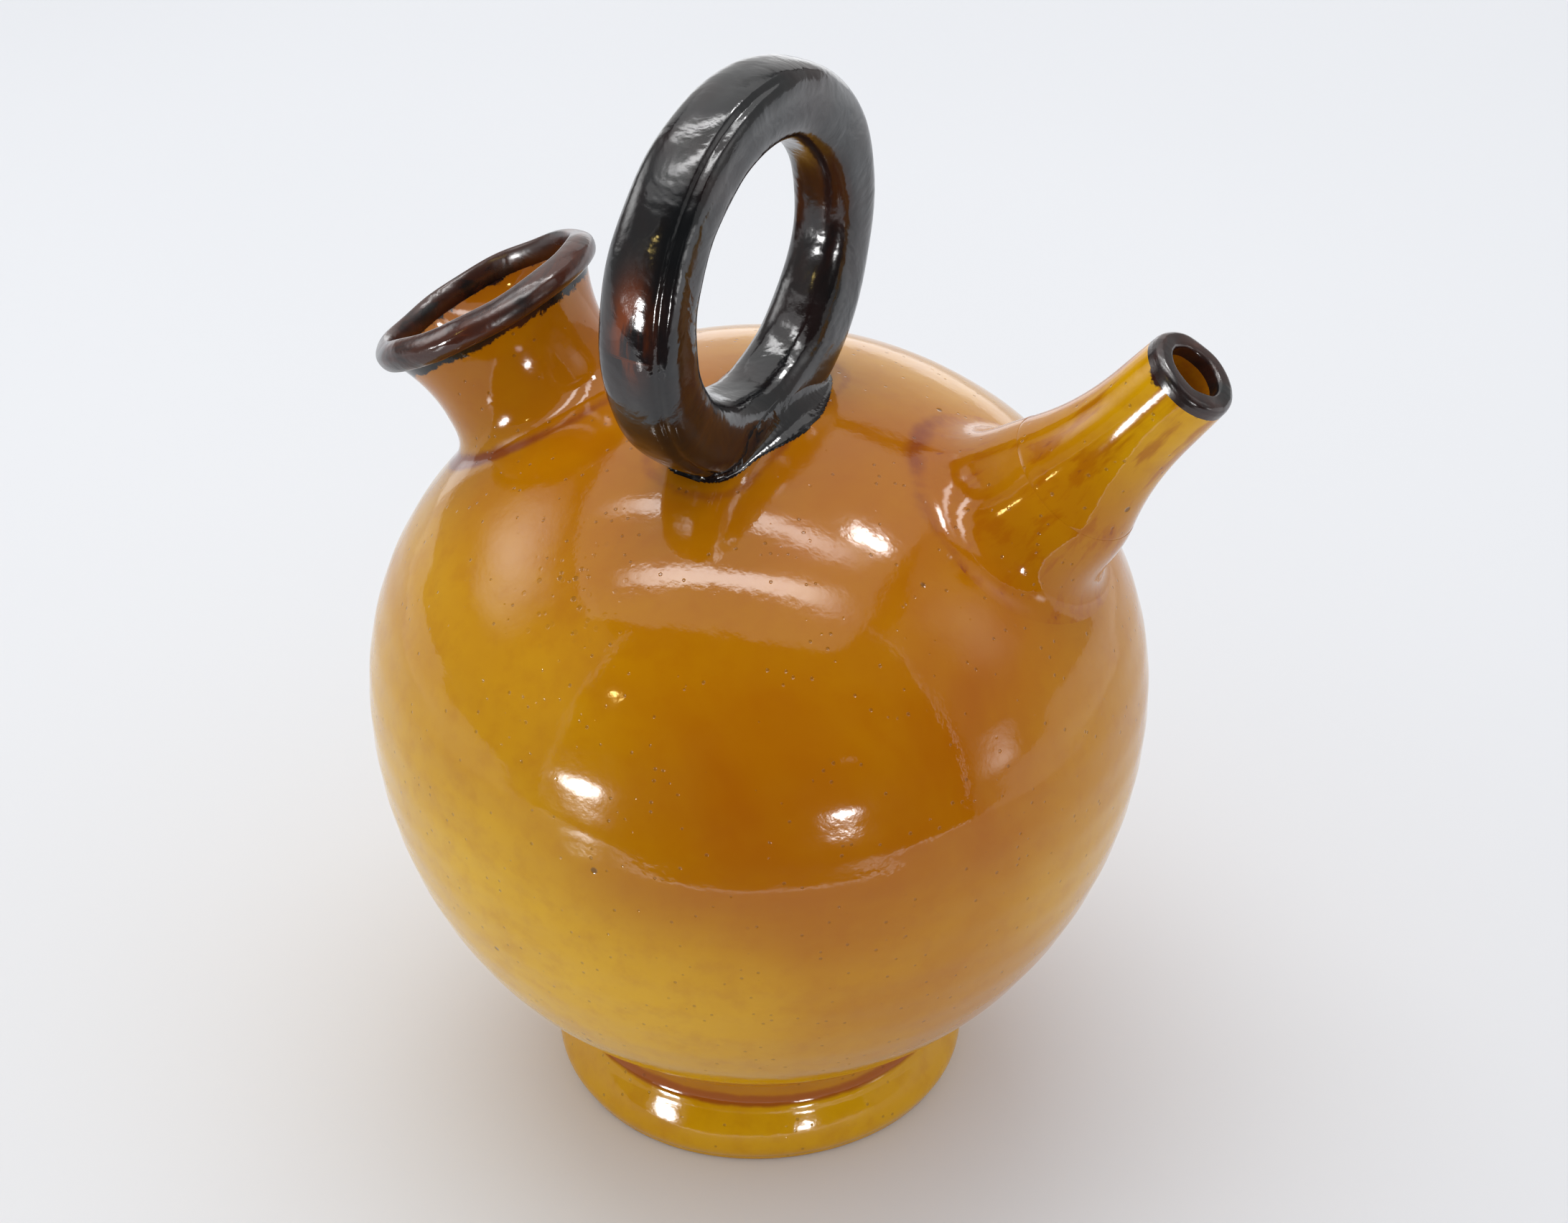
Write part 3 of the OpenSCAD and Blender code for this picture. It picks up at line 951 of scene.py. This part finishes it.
def paint_rim(obj, axis, stretch, thin):
    """Places round a dark rim, with one thinness all over."""
    radius, height, angle = axis.measure(vertex_points(obj))
    paint_strand(obj, stretch * angle * radius, radius, height, thin)


NECK_PALE = 0.15
SPOUT_PALE = 0.30
FOOT_PALE = 0.65
BAND_PALE = 0.10
UNDIPPED = -9.0
PITTED_PLACE = np.array([-18.0, -39.0, 114.7])
PITTED_REACH = 6.5

neck = make_neck()
lip = make_lip()
neck_fillet = make_mouth_fillet()
tube = make_spout()
tip = make_spout_tip()
spout_fillet = make_spout_fillet()
foot = make_foot()
foot_band = make_foot_fillet()
ring = make_ring()
ring_fillet = make_ring_fillet()

points = vertex_points(body)
seams = np.maximum.reduce([mouth_seam(points), spout_seam(points), ring_halo(points)])
from_pits = np.linalg.norm(points / MM - PITTED_PLACE, axis=1)
set_values(body, pool=seams * on_shoulder(points), dip=UNDIPPED, pale=body_pale_and_painted_light(points),
           pitted=hump(from_pits, 0, PITTED_REACH))

radius, height, angle = mouth.measure(vertex_points(neck))
outside_drop = 2.4 + 1.6 * angle_hump(angle, 0.3, 0.9)
drop = np.where(radius > neck_radius(height) - 1, outside_drop, 0.2)
set_values(neck, pool=0.0, dip=height - (NECK_LEN - drop), pale=NECK_PALE)
points = vertex_points(neck_fillet)
set_values(neck_fillet, pool=mouth_seam(points), dip=UNDIPPED,
           pale=root_pale(points, mouth, NECK_PALE, NECK_SPLIT_Z))

radius, height, angle = spout.measure(vertex_points(tube))
drip = 0.8 * angle_hump(angle, -2.2, 0.5)
bore_side = radius < spout_radius(height) - 1
set_values(tube, pool=0.45 * bore_side, dip=height - (SPOUT_LEN - SPOUT_DIP + 0.6 - drip),
           pale=SPOUT_PALE + 0.9 * smooth_step(10, SPOUT_LEN, height) * ~bore_side)
points = vertex_points(spout_fillet)
set_values(spout_fillet, pool=spout_seam(points), dip=UNDIPPED,
           pale=root_pale(points, spout, SPOUT_PALE, SPOUT_SPLIT_Z))

height = vertex_points(foot)[:, 2] / MM
set_values(foot, pool=smooth_step(FOOT_H - 1.5, FOOT_H - 0.3, height), dip=UNDIPPED,
           pale=FOOT_PALE)
height = vertex_points(foot_band)[:, 2] / MM
set_values(foot_band, pool=1 - smooth_step(FOOT_H + 0.4, FOOT_H + 2.2, height), dip=UNDIPPED,
           pale=BAND_PALE)

paint_ring(ring)
paint_ring(ring_fillet)
paint_rim(lip, mouth, 0.5, 0.28)
paint_rim(tip, spout, 1.0, 0.15)

SPOUT_TURN = (0.0, math.acos(spout.along[2]), 0.0)
honey = glaze("honey_glaze", HONEY_DEEP, HONEY_YELLOW, SEAM_RED)
spout_honey = glaze("spout_glaze", HONEY_DEEP, SPOUT_YELLOW, SEAM_RED, SPOUT_TURN)
foot_honey = glaze("foot_glaze", HONEY_MID, FOOT_YELLOW, POOL_RED)
ring_dark = dark_glaze("ring_glaze", 0.25, 0.07, 0.20)
rim_dark = dark_glaze("rim_glaze", 1.0, 0.12, 0.30)

finish_piece(body, honey, "honey_glaze", "lower_bowl", "upper_dome")
finish_piece(foot, foot_honey, "foot_glaze", "foot_ring")
finish_piece(foot_band, foot_honey, "pooled_glaze", "foot_luting_coil")
finish_piece(neck, honey, "honey_glaze", "mouth_neck")
finish_piece(lip, rim_dark, "dark_glaze", "mouth_lip")
finish_piece(neck_fillet, honey, "pooled_glaze", "mouth_luting_coil")
finish_piece(tube, spout_honey, "honey_glaze", "spout_tube")
finish_piece(tip, rim_dark, "dark_glaze", "spout_tip")
finish_piece(spout_fillet, spout_honey, "honey_glaze", "spout_luting_coil")
finish_piece(ring, ring_dark, "dark_glaze", "ring_handle")
finish_piece(ring_fillet, ring_dark, "dark_glaze", "handle_luting_coil")


# ---- Floor, light and camera ----
STUDIO_TURN = math.radians(17)
STUDIO_FRONT = -0.232
FLOOR_REACH = 4.0
FLOOR_TONES = ((0.785, 0.795, 0.815), (0.80, 0.81, 0.83))
ROOM_SEEN = (0.82, 0.83, 0.85, 1)
ROOM_MIRRORED = (0.03, 0.025, 0.022, 1)
scene = bpy.context.scene
scene.view_settings.view_transform = "Standard"
scene.view_settings.look = "None"


def studio_point(x, y, z):
    """A place in the studio, whose front faces the camera."""
    c, s = math.cos(STUDIO_TURN), math.sin(STUDIO_TURN)
    return Vector((x * c - y * s, x * s + y * c, z))


def floor_material():
    """Matt paper with a faint unevenness of tone."""
    n = Nodes("pale_floor")
    tone = n.ramp(n.noise(3.0, 2), 0.3, 0.7)
    n.feed(n.shader.inputs["Base Color"], n.mix(tone, *FLOOR_TONES))
    n.feed(n.shader.inputs["Roughness"], 0.62)
    n.feed(n.shader.inputs["Specular IOR Level"], 0.0)
    return n.material


def floor_slab(name, y_low, y_high, material):
    """Flat strip of floor between two depths of the studio."""
    corners = [studio_point(x, y, 0) for x, y in
               ((-FLOOR_REACH, y_low), (FLOOR_REACH, y_low),
                (FLOOR_REACH, y_high), (-FLOOR_REACH, y_high))]
    mesh = bpy.data.meshes.new(name)
    mesh.from_pydata([tuple(c) for c in corners], [], [(0, 1, 2, 3)])
    slab = bpy.data.objects.new(name, mesh)
    scene.collection.objects.link(slab)
    mesh.materials.append(material)
    return slab


def make_floor():
    """The part in front of the tent isn't mirrored in the glaze, as in a darker room."""
    material = floor_material()
    floor_slab("floor", STUDIO_FRONT, FLOOR_REACH, material)
    front = floor_slab("floor_front", -FLOOR_REACH, STUDIO_FRONT, material)
    front.visible_glossy = False


def soften_edges(light, edge):
    """Lets a panel fade out over a share of its width and height, as diffusing cloth does."""
    light.use_nodes = True
    tree = light.node_tree
    emission = tree.nodes["Emission"]
    place = tree.nodes.new("ShaderNodeSeparateXYZ")
    tree.links.new(tree.nodes.new("ShaderNodeNewGeometry").outputs["Parametric"], place.inputs[0])
    product = tree.nodes.new("ShaderNodeMath")
    product.operation = "MULTIPLY"
    for socket, axis in zip(product.inputs, ("X", "Y")):
        fold = tree.nodes.new("ShaderNodeMath")
        fold.operation = "PINGPONG"
        fold.inputs[1].default_value = 0.5
        tree.links.new(place.outputs[axis], fold.inputs[0])
        fade = tree.nodes.new("ShaderNodeMapRange")
        fade.interpolation_type = "SMOOTHSTEP"
        fade.inputs["From Max"].default_value = edge
        tree.links.new(fold.outputs[0], fade.inputs["Value"])
        tree.links.new(fade.outputs["Result"], socket)
    tree.links.new(product.outputs[0], emission.inputs["Strength"])


def panel(name, centre, target, size, radiance, edge=0.0, colour=(1, 1, 1), mirrored_only=True):
    """A soft light whose brightness is given as the radiance that the glaze mirrors."""
    width, height = size
    light = bpy.data.lights.new(name, "AREA")
    light.shape = "RECTANGLE"
    light.size = width
    light.size_y = height
    light.energy = radiance * width * height * math.pi
    light.color = colour
    if edge > 0:
        soften_edges(light, edge)
    lamp = bpy.data.objects.new(name, light)
    scene.collection.objects.link(lamp)
    lamp.location = centre
    lamp.rotation_euler = (Vector(target) - Vector(centre)).to_track_quat("-Z", "Y").to_euler()
    lamp.visible_camera = False
    lamp.visible_diffuse = not mirrored_only
    return lamp


def make_world():
    """Pale all round for the eye and for soft fill; a darker room in the mirror-like glaze."""
    world = bpy.data.worlds.new("studio")
    scene.world = world
    world.use_nodes = True
    tree = world.node_tree
    background = tree.nodes["Background"]
    path = tree.nodes.new("ShaderNodeLightPath")
    mix = tree.nodes.new("ShaderNodeMix")
    mix.data_type = "RGBA"
    tree.links.new(path.outputs["Is Glossy Ray"], mix.inputs[0])
    mix.inputs[6].default_value = ROOM_SEEN
    mix.inputs[7].default_value = ROOM_MIRRORED
    tree.links.new(mix.outputs[2], background.inputs["Color"])
    background.inputs["Strength"].default_value = 1.0


TENT_LEFT = -0.385
TENT_RIGHT = 0.325
TENT_TOP = 0.545
TENT_BACK = 0.50
TENT_EDGE = 0.005
CLOTH_FADE = 0.03
STRIP_FADE = 0.3
LAMP_FADE = 0.5
HEART = Vector((0, 0, 0.09))

# Name, place in the studio, width and height, radiance
MIRRORED_PATCHES = (
    ("wall_left_cloud", (-0.297, 0.096, 0.278), (0.30, 0.20), 4),
    ("wall_right_cloud", (0.277, -0.061, 0.281), (0.16, 0.26), 1.1),
    ("wall_right_patch", (0.315, -0.154, 0.091), (0.09, 0.10), 5),
    ("lamp_left", (-0.723, -0.623, 0.097), (0.27, 0.20), 130),
    ("lamp_left_glow", (-0.74, -0.64, 0.095), (0.46, 0.34), 5),
    ("lamp_right", (0.359, -0.889, 0.068), (0.19, 0.11), 110),
    ("lamp_faint", (0.389, -0.809, 0.416), (0.07, 0.09), 1.5),
)


def ceiling_strip(name, x, y, size, radiance, turn=0.0):
    """Bright strip just under the tent's top."""
    strip = panel(name, studio_point(x, y, TENT_TOP - 0.006), studio_point(x, y, 0), size,
                  radiance, edge=STRIP_FADE)
    strip.rotation_euler.rotate_axis("Z", turn)


def make_tent():
    """Cloth walls and top, open to the front, whose front edges catch the light."""
    mid_x = (TENT_LEFT + TENT_RIGHT) / 2
    mid_y = (STUDIO_FRONT + TENT_BACK) / 2
    mid_z = TENT_TOP / 2
    width = TENT_RIGHT - TENT_LEFT
    depth = TENT_BACK - STUDIO_FRONT
    panel("ceiling", studio_point(mid_x, mid_y, TENT_TOP), studio_point(mid_x, mid_y, 0),
          (width, depth), 1.2, edge=CLOTH_FADE)
    for name, x, radiance in (("wall_left", TENT_LEFT, 0.28), ("wall_right", TENT_RIGHT, 0.42)):
        panel(name, studio_point(x, mid_y, mid_z), studio_point(0, mid_y, mid_z),
              (depth, TENT_TOP), radiance, edge=CLOTH_FADE)
        panel(name + "_edge", studio_point(x, STUDIO_FRONT, mid_z), HEART, (TENT_EDGE, TENT_TOP),
              2.5)
    panel("wall_back", studio_point(mid_x, TENT_BACK, mid_z), studio_point(0, 0, mid_z),
          (width, TENT_TOP), 1.0, edge=0.05)
    panel("floor_edge", studio_point(mid_x, STUDIO_FRONT - 0.003, TENT_EDGE / 2),
          studio_point(mid_x, 0, TENT_EDGE / 2), (width, TENT_EDGE), 4.0)


def make_lights():
    """One soft light over the jug, and all that its glaze mirrors."""
    key = panel("key_overhead", studio_point(-0.06, 0.20, 0.74), HEART, (0.7, 0.6), 1.5,
                mirrored_only=False)
    key.visible_glossy = False
    make_tent()
    ceiling_strip("strip_front", -0.055, -0.078, (0.56, 0.075), 13, math.radians(4))
    ceiling_strip("strip_back", -0.04, 0.085, (0.60, 0.06), 11, math.radians(-6))
    ceiling_strip("strip_end", 0.205, 0.055, (0.12, 0.05), 60)
    for name, place, size, radiance in MIRRORED_PATCHES:
        panel(name, studio_point(*place), HEART, size, radiance, edge=LAMP_FADE)
    panel("lamp_left_floor", studio_point(-0.21, -0.207, 0.002), studio_point(-0.21, -0.207, 1),
          (0.07, 0.05), 22, edge=LAMP_FADE)
    panel("lamp_small", studio_point(-0.406, -0.360, 0.444), HEART, (0.040, 0.034), 90, edge=0.4,
          colour=(1.0, 0.75, 0.25))


CAMERA_AZIMUTH = math.radians(16)
CAMERA_PITCH = math.radians(35)
CAMERA_DISTANCE = 0.5727
CAMERA_TARGET = Vector((0.00398, 0.00114, 0.0880))
CAMERA_LENS = 82.42
CAMERA_SENSOR = 36.0


def make_camera():
    """Looks down on the jug from its front, a little to the spout's side."""
    back = Vector((math.sin(CAMERA_AZIMUTH) * math.cos(CAMERA_PITCH),
                   -math.cos(CAMERA_AZIMUTH) * math.cos(CAMERA_PITCH),
                   math.sin(CAMERA_PITCH)))
    data = bpy.data.cameras.new("camera")
    data.lens = CAMERA_LENS
    data.sensor_width = CAMERA_SENSOR
    data.sensor_fit = "HORIZONTAL"
    data.clip_start = 0.01
    data.clip_end = 50
    camera = bpy.data.objects.new("camera", data)
    scene.collection.objects.link(camera)
    camera.location = CAMERA_TARGET + back * CAMERA_DISTANCE
    camera.rotation_euler = (-back).to_track_quat("-Z", "Y").to_euler()
    scene.camera = camera


make_floor()
make_world()
make_lights()
make_camera()
